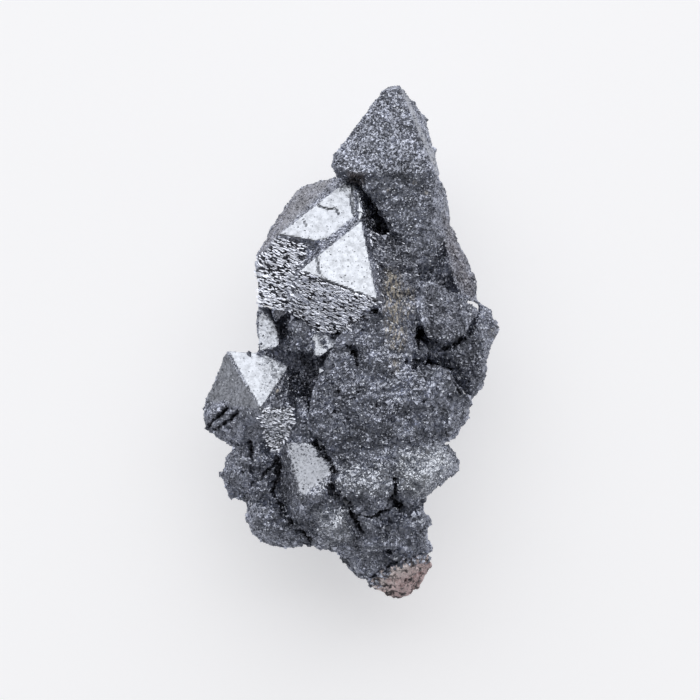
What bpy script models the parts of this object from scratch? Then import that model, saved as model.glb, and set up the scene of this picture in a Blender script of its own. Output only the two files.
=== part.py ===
# Hematite pseudomorph: a loose cluster of intergrown octahedral crystals, lying on its back.
# The front of the cluster faces up (+Z), its long axis runs along Y with the summit crystal at +Y,
# and the origin is on the resting plane below the middle of the cluster.
# Every crystal is the convex body spanned by its tips, in millimetres, and all of them are grown
# together in one solid. The remnant of pale host rock at the lower end is a solid of its own.
import math
import random

import bmesh
import bpy
from mathutils import Euler, Matrix, Vector
from mathutils.bvhtree import BVHTree

MM = 0.001
SEAM = 0.3          # clearance between the crystals and the host rock
REST_PLANE = 0.0    # height of the broken back face that the specimen lies on
HEMATITE = (0.10, 0.105, 0.12)
HOST_ROCK = (0.45, 0.36, 0.34)

# Crystals that show on the front, each by its tips (x, y, z) in millimetres.
FRONT_CRYSTALS = {
    # the tall crystal at the upper end: front face, right flank, undercut left flank
    "summit": (
        (4.0, 33.0, 19.0), (6.2, 33.3, 19.2), (5.3, 33.55, 17.4), (10.8, 22.0, 20.3),
        (3.0, 21.6, 20.4), (-2.3, 24.8, 19.6), (-2.55, 22.8, 19.6), (-2.1, 21.4, 18.8),
        (0.8, 21.7, 19.4), (8.1, 31.5, 15.8), (9.6, 29.4, 13.4), (11.5, 21.8, 14.2),
        (-0.8, 23.2, 10.0), (5.4, 28.6, 8.0), (5.0, 22.4, 5.0), (10.0, 22.4, 7.0),
    ),
    # its lower face, which ends over the dark gap beside the main crystal
    "summit_lower": (
        (3.0, 21.8, 20.0), (10.8, 22.2, 20.2), (0.8, 21.6, 19.2), (3.3, 18.4, 18.6),
        (5.9, 14.0, 17.4), (8.0, 9.0, 17.2), (11.0, 9.8, 15.6), (12.2, 20.4, 14.8),
        (12.6, 18.6, 13.6), (12.5, 16.6, 13.4), (12.9, 15.4, 13.0),
        (5.4, 20.0, 9.0), (7.6, 14.0, 8.0), (10.8, 15.0, 7.0),
    ),
    # low saddle that closes the gap between the summit and the main crystal
    "saddle": (
        (-2.0, 21.9, 13.2), (-0.6, 22.6, 15.4), (1.8, 22.2, 16.0), (3.0, 18.8, 14.8),
        (-0.8, 20.6, 15.8), (0.6, 20.6, 6.0),
    ),
    # lower growth level of the main crystal: pale band, pale left flank, striated lower face
    "main": (
        (-0.9, 21.1, 17.2), (0.6, 20.5, 17.4), (1.6, 15.9, 19.4), (-4.5, 13.2, 20.6),
        (-9.6, 14.1, 20.2), (-12.3, 11.4, 17.4), (-12.6, 9.8, 17.4), (-12.2, 5.0, 15.6),
        (-10.4, 4.7, 16.2), (-7.8, 4.1, 16.4), (-2.2, 21.7, 14.0), (-4.6, 21.3, 12.6),
        (-7.3, 20.2, 12.2), (-9.6, 16.4, 12.4), (-10.8, 14.4, 12.6), (2.6, 18.6, 13.4),
        (-8.6, 9.0, 6.0), (-3.4, 16.0, 6.0), (1.0, 9.0, 7.0),
    ),
    # upper growth level: the pale triangular face, its risers and its striated lower face
    "main_plate": (
        (1.3, 15.9, 20.4), (-6.8, 9.4, 23.2), (3.4, 5.5, 25.0), (-0.3, 16.7, 18.7),
        (-8.4, 9.2, 19.9), (0.8, 3.7, 21.6), (-2.3, 1.4, 18.0), (-5.2, 1.4, 16.4),
        (-8.0, 4.1, 17.2), (2.9, 16.0, 15.6), (4.7, 5.6, 19.0), (-1.0, 8.0, 8.0),
    ),
    "main_strip": (
        (0.5, 20.2, 18.2), (1.25, 19.6, 18.1), (0.75, 16.1, 20.0), (1.55, 16.3, 19.9),
        (0.5, 16.6, 17.6), (1.5, 19.0, 14.0),
    ),
    # granular shoulder on the right of the main crystal
    "shoulder": (
        (2.5, 14.6, 18.4), (6.2, 14.0, 17.4), (8.6, 9.6, 18.0), (9.3, 5.6, 18.4),
        (8.2, -0.6, 19.6), (5.4, 1.2, 21.0), (3.0, 4.8, 21.9), (2.7, 9.0, 20.6),
        (5.0, 8.0, 7.0),
    ),
    "shoulder_knot": (
        (3.3, 13.0, 19.4), (4.9, 12.6, 19.3), (5.9, 10.8, 19.4), (4.6, 9.2, 20.3),
        (3.2, 10.4, 20.2), (4.4, 11.2, 20.9), (4.4, 11.0, 14.0),
    ),
    # the broad granular mass in the middle
    "central": (
        (-0.9, 2.6, 20.9), (2.4, 4.3, 21.7), (6.6, 3.4, 20.8), (7.9, 0.0, 20.0),
        (8.0, -3.4, 20.4), (6.8, -9.0, 20.6), (6.2, -13.8, 19.2), (1.6, -15.2, 18.6),
        (-1.7, -14.7, 18.2), (-3.2, -13.4, 18.0), (-5.1, -12.3, 17.4), (-5.7, -10.0, 18.2),
        (-5.2, -6.4, 19.2), (-4.7, -3.9, 19.6), (-2.2, -0.6, 20.4), (-0.6, -6.4, 20.9),
        (2.6, -10.4, 20.6), (3.6, -1.6, 21.4), (0.0, -5.0, 6.0), (7.0, -6.0, 6.0),
    ),
    "central_ledge": (
        (-5.6, -9.2, 18.8), (-3.4, -8.2, 20.3), (-1.0, -9.8, 20.9), (-0.4, -12.6, 20.0),
        (-2.4, -13.4, 18.9), (-5.2, -11.6, 18.0), (-2.4, -10.8, 14.0),
    ),
    "central_right": (
        (8.4, -2.7, 20.6), (10.6, -2.5, 20.0), (12.4, -3.4, 19.0), (13.6, -5.3, 17.8),
        (15.5, -7.5, 15.2), (15.3, -8.7, 14.0), (14.3, -11.0, 13.4), (13.4, -12.5, 13.6),
        (11.6, -12.9, 16.2), (6.6, -13.6, 19.2), (6.6, -8.0, 20.7), (7.4, -5.0, 21.2),
        (10.4, -7.6, 19.9), (10.0, -8.0, 6.0),
    ),
    # rough ground between the summit, the shoulder and the crystals on the right
    "right_bed": (
        (8.4, 13.0, 15.0), (12.2, 13.4, 13.6), (14.8, 8.4, 13.4), (14.6, 3.4, 13.4),
        (8.4, 1.6, 15.4), (8.0, 9.0, 15.8), (11.0, 8.0, 6.0),
    ),
    # fibrous crystal on the right, undercut along its lower edge
    "wedge": (
        (8.0, 8.8, 18.2), (10.6, 8.2, 17.0), (8.2, 4.2, 20.0), (9.4, 3.0, 19.7), (9.5, 0.7, 19.4),
        (13.0, 0.3, 17.8), (15.0, 1.6, 16.6),
        (16.5, 4.6, 15.2), (13.6, 6.6, 16.0), (10.0, 6.6, 17.8), (10.6, 1.6, 11.5),
        (14.2, 2.4, 10.0), (11.6, 4.0, 6.0),
    ),
    # right lobe: a rough rim round a dark hollow
    "right_lobe": (
        (16.9, 5.4, 12.6), (18.1, 4.4, 11.6), (19.2, 1.9, 11.0), (18.5, 0.0, 12.0),
        (17.6, -3.4, 13.0), (17.0, -6.0, 11.8), (15.6, -7.7, 11.2), (15.9, 2.2, 15.2),
        (15.3, -1.8, 14.8), (15.3, -5.6, 13.8), (13.4, 0.2, 12.0), (13.4, -5.0, 11.0),
        (17.4, 1.6, 14.2), (16.6, -3.6, 14.4), (13.0, -1.0, 3.6), (15.4, 0.6, 5.4),
    ),
    # ground of the hollow between the middle, the fibrous crystal and the right lobe
    "hollow_knob": (
        (7.6, 0.9, 17.4), (9.0, 0.8, 17.6), (10.0, -0.6, 17.2), (9.7, -2.2, 17.0), (8.2, -3.0, 17.6),
        (7.4, -1.6, 18.0), (8.8, -0.9, 18.4), (8.8, -1.0, 9.0),
    ),
    "hollow_slope": (
        (9.6, 0.6, 14.8), (12.8, 1.6, 15.2), (15.6, 1.0, 15.2), (15.6, -5.2, 13.9), (13.8, -5.0, 14.0),
        (11.2, -2.6, 15.0), (9.6, -1.6, 15.2), (13.6, -1.2, 15.9), (12.6, -2.0, 6.0),
    ),
    # brownish crystal on the upper right
    "right_upper": (
        (12.2, 17.0, 12.6), (13.3, 15.0, 11.8), (14.7, 12.0, 11.4), (16.1, 8.4, 11.4),
        (16.8, 7.2, 12.0), (16.6, 5.0, 12.4), (14.5, 5.7, 15.4), (13.2, 8.2, 16.6),
        (12.2, 12.4, 15.8), (11.8, 15.2, 14.8), (12.0, 8.6, 11.0), (11.6, 10.0, 4.5),
    ),
    # left crystal: pale upper face, smooth left face, sparkling lower face
    "left": (
        (-16.4, -0.75, 14.6), (-11.8, -1.0, 14.9), (-8.2, -2.8, 15.6), (-11.9, -8.3, 19.8),
        (-8.0, -8.4, 18.2), (-7.2, -9.7, 17.0), (-10.0, -14.5, 13.4), (-16.0, -13.2, 11.6),
        (-17.8, -12.45, 11.2), (-19.35, -11.1, 11.2), (-19.3, -9.6, 11.6), (-19.2, -7.2, 12.4),
        (-6.6, -3.4, 12.6), (-6.0, -8.8, 13.4), (-12.0, -12.0, 16.4), (-13.4, -14.3, 12.8),
        (-12.6, -6.0, 3.6), (-15.4, -8.4, 5.0),
    ),
    "left_ledge": (
        (-18.7, -8.2, 13.2), (-16.2, -7.6, 15.9), (-14.6, -8.5, 17.0), (-15.6, -10.4, 15.4),
        (-18.0, -11.2, 12.9), (-18.9, -9.8, 12.6), (-16.6, -9.2, 10.0),
    ),
    "left_ledge_low": (
        (-18.9, -10.2, 12.2), (-17.2, -10.6, 13.9), (-15.0, -10.0, 15.9), (-13.4, -11.0, 16.0),
        (-14.4, -12.6, 14.2), (-17.0, -12.1, 12.2), (-16.0, -11.0, 9.0),
    ),
    # rough ground between the left crystal, the middle and the short crystal
    "left_foot": (
        (-6.4, -6.8, 15.6), (-7.4, -9.0, 16.4), (-5.0, -10.2, 17.8), (-4.4, -12.6, 17.2),
        (-8.0, -12.6, 15.8), (-9.6, -13.6, 14.6), (-7.0, -11.0, 8.0),
    ),
    # rough mass that the lumps of the lower half grow from
    "lower_bed": (
        (-13.6, -14.6, 12.2), (-12.6, -19.6, 12.8), (-10.4, -25.0, 12.2), (-6.0, -26.9, 11.4),
        (-3.0, -26.6, 12.8), (3.6, -28.2, 13.2), (7.0, -26.8, 13.0), (9.0, -19.4, 14.4),
        (12.4, -13.4, 14.0), (11.4, -16.6, 13.6), (7.0, -14.6, 17.6), (-2.4, -15.6, 17.2),
        (-8.6, -13.4, 15.0), (4.0, -22.4, 16.2), (-2.0, -21.4, 16.4),
        (-9.0, -17.0, 6.0), (1.0, -25.0, 5.0), (9.0, -17.0, 6.0),
    ),
    # shelf under the middle, level with the pale lump below it
    "lower_shelf": (
        (-3.6, -13.2, 17.8), (2.0, -14.2, 19.3), (6.4, -13.0, 19.4), (11.6, -12.6, 16.6),
        (11.2, -14.6, 16.8), (6.2, -18.0, 18.6), (3.0, -17.2, 19.2), (-2.4, -17.2, 18.0),
        (2.0, -15.5, 8.0),
    ),
    # short crystal with a pale facet and a dark left flank
    "ridge": (
        (-8.8, -12.4, 16.8), (-5.0, -12.9, 16.7), (-4.0, -13.6, 16.8), (-2.1, -16.0, 17.6),
        (-2.3, -17.4, 18.3), (-4.7, -19.2, 19.4), (-6.7, -19.8, 19.8), (-9.9, -16.0, 13.4),
        (-10.0, -19.0, 12.8), (-8.6, -21.3, 14.2), (-6.1, -22.7, 17.4), (-5.6, -17.0, 7.0),
    ),
    "ridge_step": (
        (-4.9, -18.2, 19.0), (-3.2, -18.7, 18.8), (-2.9, -20.0, 18.4), (-4.4, -20.9, 18.6),
        (-5.6, -20.0, 19.6), (-4.2, -19.6, 19.9), (-4.2, -19.6, 13.0),
    ),
    "ridge_foot": (
        (-8.6, -20.6, 14.6), (-5.8, -21.4, 17.2), (-2.8, -19.8, 18.2), (-1.0, -21.6, 17.2),
        (-4.4, -23.4, 16.8), (-8.0, -23.2, 15.0), (-4.8, -21.8, 8.0),
    ),
    "left_lobe_ground": (
        (-15.4, -13.6, 12.6), (-12.6, -14.0, 14.6), (-9.8, -15.0, 14.6), (-9.8, -20.4, 13.6),
        (-12.6, -21.2, 12.8), (-15.4, -20.4, 11.0), (-16.6, -16.6, 11.2), (-12.6, -17.0, 6.0),
    ),
    "left_lobe": (
        (-15.6, -13.4, 12.0), (-16.6, -15.0, 10.8), (-17.1, -17.0, 10.4), (-17.0, -18.6, 10.2),
        (-15.9, -20.2, 10.6), (-14.0, -20.9, 11.2), (-13.0, -18.0, 14.0), (-13.6, -15.2, 15.0),
        (-12.6, -17.0, 4.0),
    ),
    "left_lobe_inner": (
        (-12.4, -13.6, 15.2), (-10.6, -14.9, 15.0), (-12.0, -16.0, 15.2), (-13.8, -16.0, 14.6),
        (-12.2, -15.0, 9.0),
    ),
    "left_lobe_low": (
        (-10.6, -16.6, 15.0), (-13.2, -18.2, 13.8), (-14.2, -19.8, 12.6), (-12.0, -20.8, 13.4),
        (-10.6, -18.8, 13.8), (-11.6, -18.6, 8.0),
    ),
    # rounded granular lumps along the lower left
    "lump_left": (
        (-14.0, -20.6, 11.8), (-14.25, -22.6, 11.2), (-13.7, -24.2, 10.8), (-12.4, -25.6, 10.4),
        (-10.8, -26.4, 10.8), (-7.0, -26.8, 11.6), (-11.8, -21.2, 14.8), (-9.0, -21.8, 15.6),
        (-7.0, -23.4, 15.2), (-7.8, -25.2, 14.4), (-10.4, -24.9, 14.9), (-12.3, -23.6, 14.2),
        (-9.4, -23.2, 5.0),
    ),
    "lump_right": (
        (-5.3, -22.6, 16.2), (-3.2, -20.9, 17.1), (-0.9, -21.2, 16.9), (0.2, -22.8, 16.4),
        (0.2, -24.6, 15.6), (-0.6, -26.1, 14.2), (-3.2, -26.9, 12.8), (-5.2, -25.4, 14.4),
        (-4.4, -24.0, 17.0), (-1.6, -23.4, 17.6), (-4.2, -27.2, 11.2), (-2.2, -27.5, 11.0),
        (-2.4, -24.0, 6.0),
    ),
    "lump_centre": (
        (-2.4, -17.6, 18.6), (1.0, -16.4, 19.7), (4.9, -16.4, 19.4), (5.3, -19.0, 18.8),
        (4.4, -21.5, 17.4), (2.2, -22.2, 17.0), (-0.9, -20.9, 17.4), (-2.0, -19.1, 18.1),
        (1.6, -19.4, 19.6), (1.6, -19.4, 8.0),
    ),
    "lump_small": (
        (0.5, -22.4, 16.6), (3.9, -22.2, 17.0), (3.7, -23.6, 16.4), (1.3, -24.4, 15.8),
        (0.4, -23.4, 16.2), (2.0, -23.0, 17.6), (2.0, -23.2, 9.0),
    ),
    "lump_lower_right": (
        (5.8, -14.5, 18.7), (8.0, -13.7, 18.4), (11.2, -13.5, 16.8), (12.7, -13.1, 14.6),
        (13.5, -14.5, 13.4), (14.0, -15.5, 13.0), (13.8, -16.5, 13.0), (12.4, -17.7, 13.2),
        (10.3, -19.3, 13.6), (8.6, -20.2, 14.2), (12.2, -16.2, 16.8), (9.0, -19.0, 18.0),
        (6.0, -18.6, 18.8), (6.6, -21.6, 15.6), (8.8, -17.0, 6.0),
    ),
    "ledge_lower_right": (
        (7.6, -17.6, 19.0), (8.6, -16.2, 18.9), (11.2, -14.9, 17.4), (12.0, -16.4, 17.4),
        (9.6, -18.5, 18.4), (9.2, -17.2, 19.5), (9.4, -17.0, 12.0),
    ),
    # narrow lower end
    "stem_upper": (
        (0.4, -24.4, 15.2), (4.4, -23.6, 16.8), (8.4, -22.2, 15.6), (8.6, -24.6, 15.0),
        (5.4, -26.8, 16.2), (1.4, -27.0, 14.8), (-1.2, -26.2, 13.2), (4.0, -25.2, 5.0),
    ),
    "stem_knob": (
        (8.6, -21.5, 14.4), (9.9, -21.9, 13.0), (10.7, -23.0, 12.2), (10.1, -24.0, 12.4),
        (8.6, -24.0, 15.0), (8.0, -22.6, 15.8), (8.6, -22.8, 8.0),
    ),
    "stem_right": (
        (7.0, -24.2, 15.8), (10.1, -24.2, 13.0), (10.1, -26.4, 12.4), (9.9, -27.6, 12.0),
        (7.2, -28.0, 14.2), (5.4, -26.4, 16.0), (7.2, -26.2, 7.0),
    ),
    "stem_lower": (
        (-2.3, -27.4, 11.6), (-0.4, -26.4, 13.4), (3.4, -26.6, 15.4), (6.6, -27.6, 14.9),
        (7.0, -29.4, 13.0), (2.4, -31.2, 11.6), (0.3, -30.6, 10.6), (-1.2, -28.9, 10.8),
        (3.4, -28.4, 4.6),
    ),
    # small crystals in the nest between the main and the left crystal
    "nest_pillar": (
        (-12.4, 5.2, 13.8), (-10.5, 4.9, 13.4), (-9.4, 1.7, 14.6), (-9.2, -0.4, 15.2),
        (-12.2, -1.2, 15.6), (-12.6, 1.6, 14.6), (-10.6, 1.2, 5.6),
    ),
    "nest_knob": (
        (-8.5, 3.1, 15.4), (-7.6, 3.9, 15.8), (-6.0, 2.6, 16.7), (-5.1, 1.2, 17.0),
        (-5.0, -1.2, 16.4), (-7.0, -1.5, 15.4), (-8.4, -0.9, 14.6), (-6.6, 1.0, 17.2),
        (-6.8, 0.8, 7.0),
    ),
    "nest_facet": (
        (-5.1, 1.2, 16.9), (-3.0, 1.35, 17.0), (-1.5, 1.2, 17.4), (-1.9, -0.3, 18.3),
        (-3.0, -1.0, 18.5), (-4.1, -1.9, 18.6), (-5.1, -1.9, 18.2), (-3.4, -0.2, 9.0),
    ),
}

# Broken mass behind the crystals, which they all grow from; its last six tips bound the flat
# fracture that the specimen lies on.
CORE = (
    (0.0, 20.0, 8.0), (8.0, 20.0, 8.0), (10.5, 10.0, 9.0), (13.0, 0.0, 9.0),
    (12.0, -10.0, 9.0), (12.6, 8.6, 9.0), (8.0, -20.0, 9.0), (3.0, -27.0, 8.0), (-6.0, -22.0, 9.0),
    (-12.0, -16.0, 8.0), (-14.0, -6.0, 8.0), (-8.0, 8.0, 8.0), (0.0, 0.0, 13.0),
    (2.0, -14.0, 13.0), (-2.0, -8.0, 13.0),
    (-3.4, 6.6, -0.6), (3.6, 8.4, -0.6), (6.8, 0.6, -0.6), (5.4, -10.6, -0.6),
    (-0.6, -13.4, -0.6), (-5.8, -5.4, -0.6),
)

# Octahedra on the back and flanks: centre, semi-axis and turn (degrees about X, Y, Z).
BACK_CRYSTALS = {
    "back_1": ((-4.6, 11.4, 6.2), 6.8, (20, 35, 10)),
    "back_2": ((5.2, 22.2, 8.2), 6.8, (50, 10, 30)),
    "back_3": ((7.6, 12.0, 6.0), 6.4, (15, 60, 25)),
    "back_4": ((10.8, 0.8, 6.6), 6.6, (35, 20, 70)),
    "back_5": ((-7.2, 3.4, 6.2), 5.4, (70, 15, 20)),
    "back_6": ((-11.8, -7.0, 6.4), 6.0, (25, 40, 55)),
    "back_7": ((-8.8, -18.4, 6.2), 6.2, (10, 25, 40)),
    "back_8": ((0.6, -20.0, 5.8), 6.6, (40, 50, 5)),
    "back_9": ((8.0, -12.0, 6.0), 6.4, (60, 30, 15)),
    "back_10": ((4.0, -26.2, 7.2), 4.8, (20, 10, 75)),
    "back_11": ((1.6, 16.2, 5.6), 5.6, (5, 40, 50)),
    "back_12": ((10.2, -5.6, 4.6), 4.8, (30, 65, 0)),
    "back_13": ((-6.8, -12.2, 4.4), 4.8, (55, 5, 65)),
    "back_14": ((-3.4, 5.4, 3.6), 5.2, (15, 20, 85)),
    "back_15": ((5.0, 5.0, 3.4), 5.2, (45, 30, 60)),
    "back_16": ((-4.6, -4.4, 3.2), 5.4, (65, 45, 35)),
    "back_17": ((3.6, -10.0, 3.2), 5.6, (10, 55, 20)),
}

# Pits and open cracks, as cutters: centre, semi-axes (x, y, z) and turn.
PITS = (
    ((0.5, -1.3, 20.9), (0.9, 1.6, 1.6), (0, 0, 12)),
    ((5.0, -9.8, 20.8), (1.6, 0.8, 1.3), (0, 0, -12)),
    ((12.3, -9.0, 18.4), (0.4, 1.1, 1.4), (0, 0, 4)),
    ((-13.0, -13.4, 15.6), (0.6, 1.6, 2.2), (0, 0, -15)),
    ((9.8, -16.3, 19.3), (0.9, 0.7, 1.2), (0, 0, 30)),
    ((-6.2, -23.9, 15.8), (0.5, 2.4, 2.0), (0, 0, 48)),
    ((2.6, -25.4, 16.2), (0.7, 0.9, 1.2), (0, 0, 15)),
    ((7.6, -26.0, 15.4), (0.6, 0.9, 1.3), (0, 0, 0)),
    ((-15.3, -9.9, 17.0), (2.2, 0.28, 1.4), (0, 0, 38)),
    ((-16.9, -10.6, 14.6), (1.9, 0.25, 1.2), (0, 0, 30)),
    ((-2.0, 2.4, 18.6), (0.35, 1.3, 1.6), (0, 0, -35)),
    ((-9.2, 2.4, 13.2), (0.8, 1.8, 3.2), (0, 0, -8)),
)

# Fields of small crystals: centre (x, y), radius, how many, and their largest semi-axis.
SMALL_CRYSTAL_FIELDS = (
    ((18.0, 2.4), 1.9, 9, 1.3), ((17.0, -3.6), 1.9, 7, 1.1), ((16.6, 4.2), 1.3, 5, 1.1),
    ((12.8, -15.4), 1.8, 8, 1.2), ((9.4, -18.2), 1.5, 7, 1.1), ((9.4, -23.2), 1.3, 6, 1.0),
    ((8.8, -26.0), 1.5, 6, 1.0), ((5.0, -25.6), 2.6, 7, 1.2), ((0.8, -27.4), 2.4, 7, 1.1),
    ((-2.2, -24.0), 2.4, 7, 1.2), ((-9.8, -24.0), 3.2, 10, 1.3), ((-13.0, -22.4), 1.4, 5, 1.1),
    ((-15.2, -16.6), 2.0, 6, 1.1), ((-17.4, -9.6), 1.7, 6, 0.9), ((-4.6, -20.6), 1.8, 5, 1.0),
    ((1.4, -19.2), 3.2, 8, 1.2), ((7.6, -16.4), 2.8, 8, 1.2), ((5.6, 9.6), 3.0, 8, 1.1),
    ((9.6, 13.0), 3.0, 8, 1.2), ((2.0, -6.0), 5.0, 12, 1.2), ((10.8, -8.4), 3.4, 9, 1.2),
    ((12.6, 3.4), 2.6, 7, 1.2), ((14.2, 10.6), 2.6, 6, 1.1), ((-8.2, -11.0), 2.2, 5, 1.0),
    ((-6.8, 1.0), 1.6, 5, 0.8), ((5.4, 18.0), 2.6, 6, 0.9),
)
SMALLEST_CRYSTAL = 0.45   # share of a field's largest semi-axis
SMALL_CRYSTAL_DEPTH = 0.35  # share of the semi-axis that the centre sits below the surface

HOST_ROCK_LUMPS = {
    "lump_1": (
        (1.9, -30.7, 12.0), (4.6, -29.4, 13.8), (7.4, -28.0, 14.4), (9.7, -27.2, 12.6),
        (10.3, -28.8, 10.8), (9.9, -29.9, 10.2), (9.0, -31.2, 9.8), (7.5, -32.8, 9.2),
        (6.4, -33.3, 9.0), (5.4, -33.2, 8.8), (3.0, -31.6, 9.8), (6.6, -31.6, 12.2),
        (3.0, -29.6, 6.0), (8.0, -30.0, 5.4),
    ),
    "lump_2": (
        (6.0, -29.2, 14.2), (7.9, -28.2, 14.6), (8.6, -29.4, 13.6), (7.4, -30.4, 13.2),
        (5.8, -30.4, 13.4), (7.0, -29.6, 10.0),
    ),
    "lump_3": (
        (3.6, -30.6, 12.8), (5.4, -30.4, 13.2), (6.0, -31.8, 12.2), (4.6, -32.2, 11.6),
        (4.8, -31.2, 9.4),
    ),
}
HOST_ROCK_PITS = (
    ((7.4, -31.2, 12.2), (0.9, 0.45, 1.0), (0, 0, 25)),
    ((8.9, -30.0, 11.4), (0.5, 0.6, 0.9), (0, 0, -20)),
)
SEAM_POINT = (5.6, -29.2, 11.8)
SEAM_NORMAL = (0.37, -0.89, 0.27)

SMALL_CRYSTAL_SEED = 41
ABOVE = 60.0    # height in millimetres from which places on the front are looked up


def clear_scene():
    for item in list(bpy.data.objects):
        bpy.data.objects.remove(item)


def material(name, colour, roughness, metallic):
    made = bpy.data.materials.new(name)
    made.use_nodes = True
    shader = made.node_tree.nodes["Principled BSDF"]
    shader.inputs["Base Color"].default_value = (*colour, 1.0)
    shader.inputs["Roughness"].default_value = roughness
    shader.inputs["Metallic"].default_value = metallic
    return made


def add_object(name, mesh):
    made = bpy.data.objects.new(name, mesh)
    bpy.context.scene.collection.objects.link(made)
    return made


def convex_body(name, tips):
    """A crystal: the convex body spanned by its tips, given in millimetres."""
    shape = bmesh.new()
    for tip in tips:
        shape.verts.new(Vector(tip) * MM)
    result = bmesh.ops.convex_hull(shape, input=shape.verts)
    inner = [v for v in result["geom_interior"] if isinstance(v, bmesh.types.BMVert)]
    bmesh.ops.delete(shape, geom=inner, context="VERTS")
    bmesh.ops.recalc_face_normals(shape, faces=shape.faces)
    mesh = bpy.data.meshes.new(name)
    shape.to_mesh(mesh)
    shape.free()
    return add_object(name, mesh)


def octahedron_tips(centre, semi_axes, turn):
    """The six tips of an octahedron, turned by three angles in degrees."""
    rotation = Euler([math.radians(angle) for angle in turn]).to_matrix()
    tips = []
    for index in range(3):
        for side in (-1, 1):
            arm = Vector((0, 0, 0))
            arm[index] = side * semi_axes[index]
            tips.append(Vector(centre) + rotation @ arm)
    return tips


def as_tool(item):
    item.hide_render = True
    item.display_type = "WIRE"
    return item


def combine(target, tool, operation):
    """Applies one exact Boolean to the target and removes the tool."""
    modifier = target.modifiers.new("join", "BOOLEAN")
    modifier.operation = operation
    modifier.solver = "EXACT"
    modifier.object = as_tool(tool)
    graph = bpy.context.evaluated_depsgraph_get()
    mesh = bpy.data.meshes.new_from_object(target.evaluated_get(graph))
    target.modifiers.clear()
    target.data = mesh
    bpy.data.objects.remove(tool)


def half_space(point, normal, reach=80.0):
    """A large block that fills the space on the side that the normal points to."""
    bpy.ops.mesh.primitive_cube_add(size=reach * MM)
    block = bpy.context.object
    placed = (
        Matrix.Translation(Vector(point) * MM)
        @ Vector(normal).to_track_quat("Z", "Y").to_matrix().to_4x4()
        @ Matrix.Translation((0, 0, reach * MM / 2))
    )
    block.data.transform(placed)
    return block


def carve(target, pits):
    for index, (centre, semi_axes, turn) in enumerate(pits):
        cutter = convex_body(f"pit_{index}", octahedron_tips(centre, semi_axes, turn))
        combine(target, cutter, "DIFFERENCE")


def grow_small_crystals(cluster):
    """Scatters small octahedra over the granular fields of the front, half sunk in it."""
    dice = random.Random(SMALL_CRYSTAL_SEED)
    surface = BVHTree.FromObject(cluster, bpy.context.evaluated_depsgraph_get())
    for (x, y), radius, count, largest in SMALL_CRYSTAL_FIELDS:
        for index in range(count):
            angle = dice.uniform(0, math.tau)
            away = radius * math.sqrt(dice.random())
            start = Vector((x + away * math.cos(angle), y + away * math.sin(angle), ABOVE)) * MM
            spot, normal, _, _ = surface.ray_cast(start, Vector((0, 0, -1)))
            reach = largest * dice.uniform(SMALLEST_CRYSTAL, 1.0)
            turn = [dice.uniform(0, 90) for _ in range(3)]
            if spot is None:
                continue
            centre = spot / MM - normal * reach * SMALL_CRYSTAL_DEPTH
            tips = octahedron_tips(centre, (reach, reach, reach), turn)
            combine(cluster, convex_body(f"small_{index}", tips), "UNION")


def build_cluster():
    cluster = convex_body("crystal_cluster", CORE)
    for name, (centre, reach, turn) in BACK_CRYSTALS.items():
        combine(cluster, convex_body(name, octahedron_tips(centre, (reach,) * 3, turn)), "UNION")
    for name, tips in FRONT_CRYSTALS.items():
        combine(cluster, convex_body(name, tips), "UNION")
    carve(cluster, PITS)
    grow_small_crystals(cluster)
    combine(cluster, half_space((0, 0, REST_PLANE), (0, 0, -1)), "DIFFERENCE")
    combine(cluster, half_space(SEAM_POINT, SEAM_NORMAL), "DIFFERENCE")
    cluster.data.materials.clear()
    cluster.data.materials.append(material("hematite", HEMATITE, 0.38, 0.9))
    return cluster


def build_host_rock():
    rock = None
    for name, tips in HOST_ROCK_LUMPS.items():
        lump = convex_body(name, tips)
        if rock is None:
            rock = lump
        else:
            combine(rock, lump, "UNION")
    rock.name = "matrix_remnant"
    carve(rock, HOST_ROCK_PITS)
    beyond = Vector(SEAM_POINT) + Vector(SEAM_NORMAL).normalized() * SEAM
    combine(rock, half_space(beyond, -Vector(SEAM_NORMAL)), "DIFFERENCE")
    rock.data.materials.clear()
    rock.data.materials.append(material("host_rock", HOST_ROCK, 0.85, 0.0))
    return rock


def centre_over_origin(pieces):
    """Moves all the pieces so that the middle of their common box is above the origin."""
    points = [vertex.co for piece in pieces for vertex in piece.data.vertices]
    middle_x = (min(p.x for p in points) + max(p.x for p in points)) / 2
    middle_y = (min(p.y for p in points) + max(p.y for p in points)) / 2
    for piece in pieces:
        piece.data.transform(Matrix.Translation((-middle_x, -middle_y, 0)))


clear_scene()
centre_over_origin([build_cluster(), build_host_rock()])
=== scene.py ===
# Hematite pseudomorph lying on its back: looks, light and camera.
# The crystals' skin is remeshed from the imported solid, roughened, and grown over with small grains.
import math

import bpy
import numpy as np
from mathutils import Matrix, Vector, noise
from mathutils.bvhtree import BVHTree


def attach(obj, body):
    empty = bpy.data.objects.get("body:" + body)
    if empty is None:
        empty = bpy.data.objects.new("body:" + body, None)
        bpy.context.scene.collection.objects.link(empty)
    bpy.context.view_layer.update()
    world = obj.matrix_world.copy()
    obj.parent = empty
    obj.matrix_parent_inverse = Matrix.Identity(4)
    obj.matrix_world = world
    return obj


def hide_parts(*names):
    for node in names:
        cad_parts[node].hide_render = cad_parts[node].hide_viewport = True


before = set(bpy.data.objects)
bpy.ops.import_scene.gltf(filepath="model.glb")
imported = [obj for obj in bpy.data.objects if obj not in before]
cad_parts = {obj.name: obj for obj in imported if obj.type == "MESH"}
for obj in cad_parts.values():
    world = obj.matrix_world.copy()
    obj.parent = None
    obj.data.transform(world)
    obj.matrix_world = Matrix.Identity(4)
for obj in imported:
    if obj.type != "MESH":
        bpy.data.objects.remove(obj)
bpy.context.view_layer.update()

mm = 0.001
aloft = 0.06     # a height above the whole specimen, in metres
dice = np.random.default_rng(7)


# helpers that every piece uses

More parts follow.
